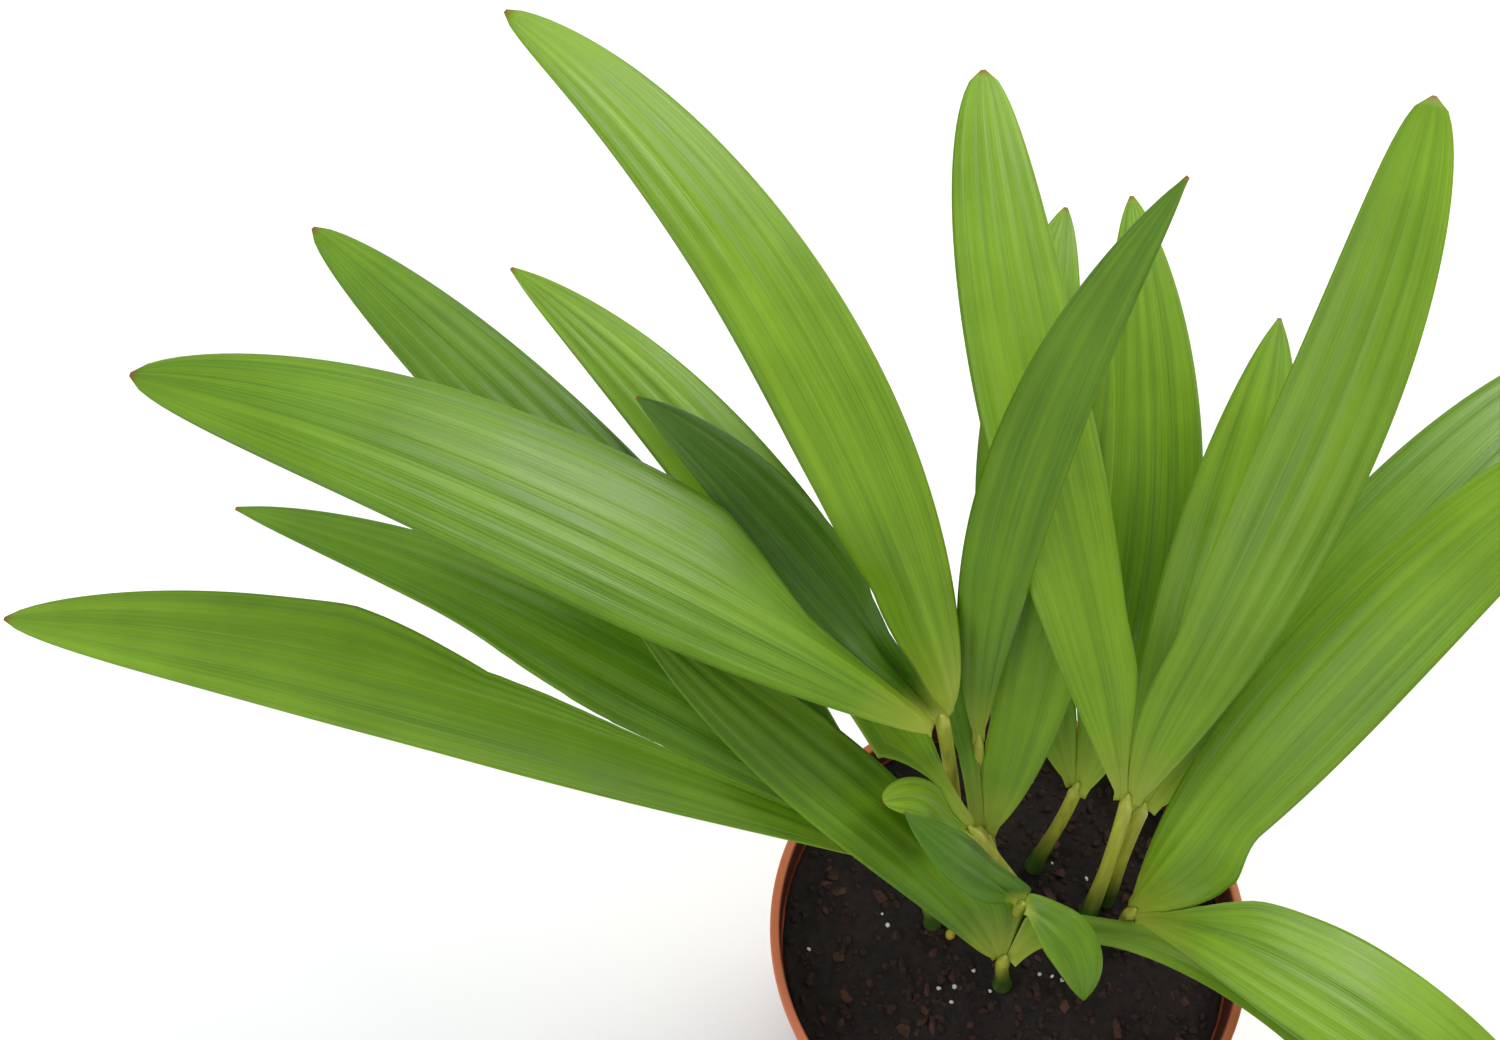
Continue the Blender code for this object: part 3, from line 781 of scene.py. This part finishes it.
# What lies loose on the compost: places are (x, y, size), the photo's own first and then some at random.
# Each is a ball, stretched by long, wide and flat, roughened, turned, and sat a share of its size up.
lumpShape = {"wide": (0.7, 1.1), "turn": 6.283, "tilt": 0.5, "bumps": 1.6, "layer": 900}
looseKinds = {
    "peatCrumbs": {
        "material": "peat crumbs", "shown": [],
        "random": {"count": 900, "reach": 0.0548, "sizes": (0.0008, 0.0026), "seed": 4},
        "detail": 1, "long": (0.9, 1.4), "flat": (0.6, 0.9), "rough": 0.5, "sit": 0.1,
        "smooth": False, "seed": 5,
    },
    "barkChips": {
        "material": "composted bark", "shown": [],
        "random": {"count": 110, "reach": 0.0530, "sizes": (0.0012, 0.0034), "seed": 6},
        "detail": 1, "long": (1.0, 1.7), "flat": (0.25, 0.5), "rough": 0.95, "sit": 0.12,
        "smooth": False, "seed": 7,
    },
    "perliteGrains": {
        "material": "expanded perlite",
        "shown": [
            (0.009, 0.044, 0.0030), (-0.017, -0.012, 0.0013), (-0.013, -0.0115, 0.0014),
            (-0.004, -0.0125, 0.0012), (-0.014, -0.0155, 0.0012), (-0.0295, 0.0045, 0.0013),
            (-0.029, -0.026, 0.0012),
        ],
        "random": {"count": 16, "reach": 0.052, "sizes": (0.0007, 0.0014), "seed": 9},
        "detail": 2, "long": (0.9, 1.2), "flat": (0.8, 1.0), "rough": 0.35, "sit": 0.2,
        "smooth": True, "seed": 8,
    },
    "fertiliserGrain": {
        "material": "coated fertiliser", "shown": [(-0.0135, 0.002, 0.0030)],
        "detail": 3, "long": (1.0, 1.0), "flat": (0.95, 1.0), "rough": 0.05, "sit": 0.35,
        "smooth": True, "seed": 10,
    },
}


def scatter(count, reach, sizes, seed):
    rng = random.Random(seed)
    places = []
    while len(places) < count:
        angle = rng.uniform(0, 2 * math.pi)
        far = math.sqrt(rng.random()) * reach
        places.append((far * math.cos(angle), far * math.sin(angle), rng.uniform(*sizes)))
    return places


def addLumps(name, kind):
    rng = random.Random(kind["seed"])
    places = kind["shown"] + (scatter(**kind["random"]) if "random" in kind else [])
    heap = bmesh.new()
    for x, y, size in places:
        verts = bmesh.ops.create_icosphere(heap, subdivisions=kind["detail"], radius=size / 2)["verts"]
        long, wide, flat = [rng.uniform(*span) for span in (kind["long"], lumpShape["wide"], kind["flat"])]
        stretch = Matrix.Diagonal((long, wide, flat, 1))
        turn = Matrix.Rotation(rng.uniform(0, lumpShape["turn"]), 4, "Z")
        turn = turn @ Matrix.Rotation(rng.uniform(-lumpShape["tilt"], lumpShape["tilt"]), 4, "X")
        for vert in verts:
            sample = vert.co * (lumpShape["bumps"] / size) + Vector((x, y, size)) * lumpShape["layer"]
            vert.co = turn @ (stretch @ (vert.co * (1 + noise.noise(sample) * kind["rough"])))
            vert.co += Vector((x, y, compostHeight(x, y) + size * kind["sit"]))
    addPiece(name, meshOf(name, heap), looseMaterial(kind["material"]), [], kind["smooth"])


addCompost()
for name, kind in looseKinds.items():
    addLumps(name, kind)
print("compost made")

# Floor and light: plain pale paper under a wide soft light from behind on the right
floorLook = {"size": 4, "colour": "#F6F6F6", "roughness": 0.9}
lights = {
    "softKey": {
        "place": (0.55, 0.65, 1.25), "aim": (0, 0.02, 0.15), "size": 0.8, "power": 17, "colour": "#FFFDF6",
    },
    "softFill": {
        "place": (-0.9, -0.7, 1.0), "aim": (0, 0, 0.12), "size": 1.2, "power": 8, "colour": "#F6FAFF",
    },
}
air = {"colour": "#F2F5F8", "strength": 0.75}


def addFloor():
    flat = bmesh.new()
    bmesh.ops.create_grid(flat, x_segments=1, y_segments=1, size=floorLook["size"])
    floor = bpy.data.objects.new("paleFloor", meshOf("paleFloor", flat))
    bpy.context.scene.collection.objects.link(floor)
    values = {"Base Color": linear(floorLook["colour"]), "Roughness": floorLook["roughness"]}
    material, _, _ = newMaterial("pale studio paper", values)
    floor.data.materials.append(material)


def addLight(name, settings):
    light = bpy.data.lights.new(name, "AREA")
    light.size = settings["size"]
    light.energy = settings["power"]
    light.color = linear(settings["colour"])[:3]
    holder = bpy.data.objects.new(name, light)
    bpy.context.scene.collection.objects.link(holder)
    holder.location = settings["place"]
    aimed = Vector(settings["aim"]) - Vector(settings["place"])
    holder.rotation_euler = aimed.to_track_quat("-Z", "Y").to_euler()


def addAir():
    world = bpy.data.worlds.new("studioAir")
    world.use_nodes = True
    background = world.node_tree.nodes["Background"]
    background.inputs["Color"].default_value = linear(air["colour"])
    background.inputs["Strength"].default_value = air["strength"]
    bpy.context.scene.world = world


addFloor()
for name, settings in lights.items():
    addLight(name, settings)
addAir()
bpy.context.scene.view_settings.view_transform = "Standard"
print("floor and lights set")
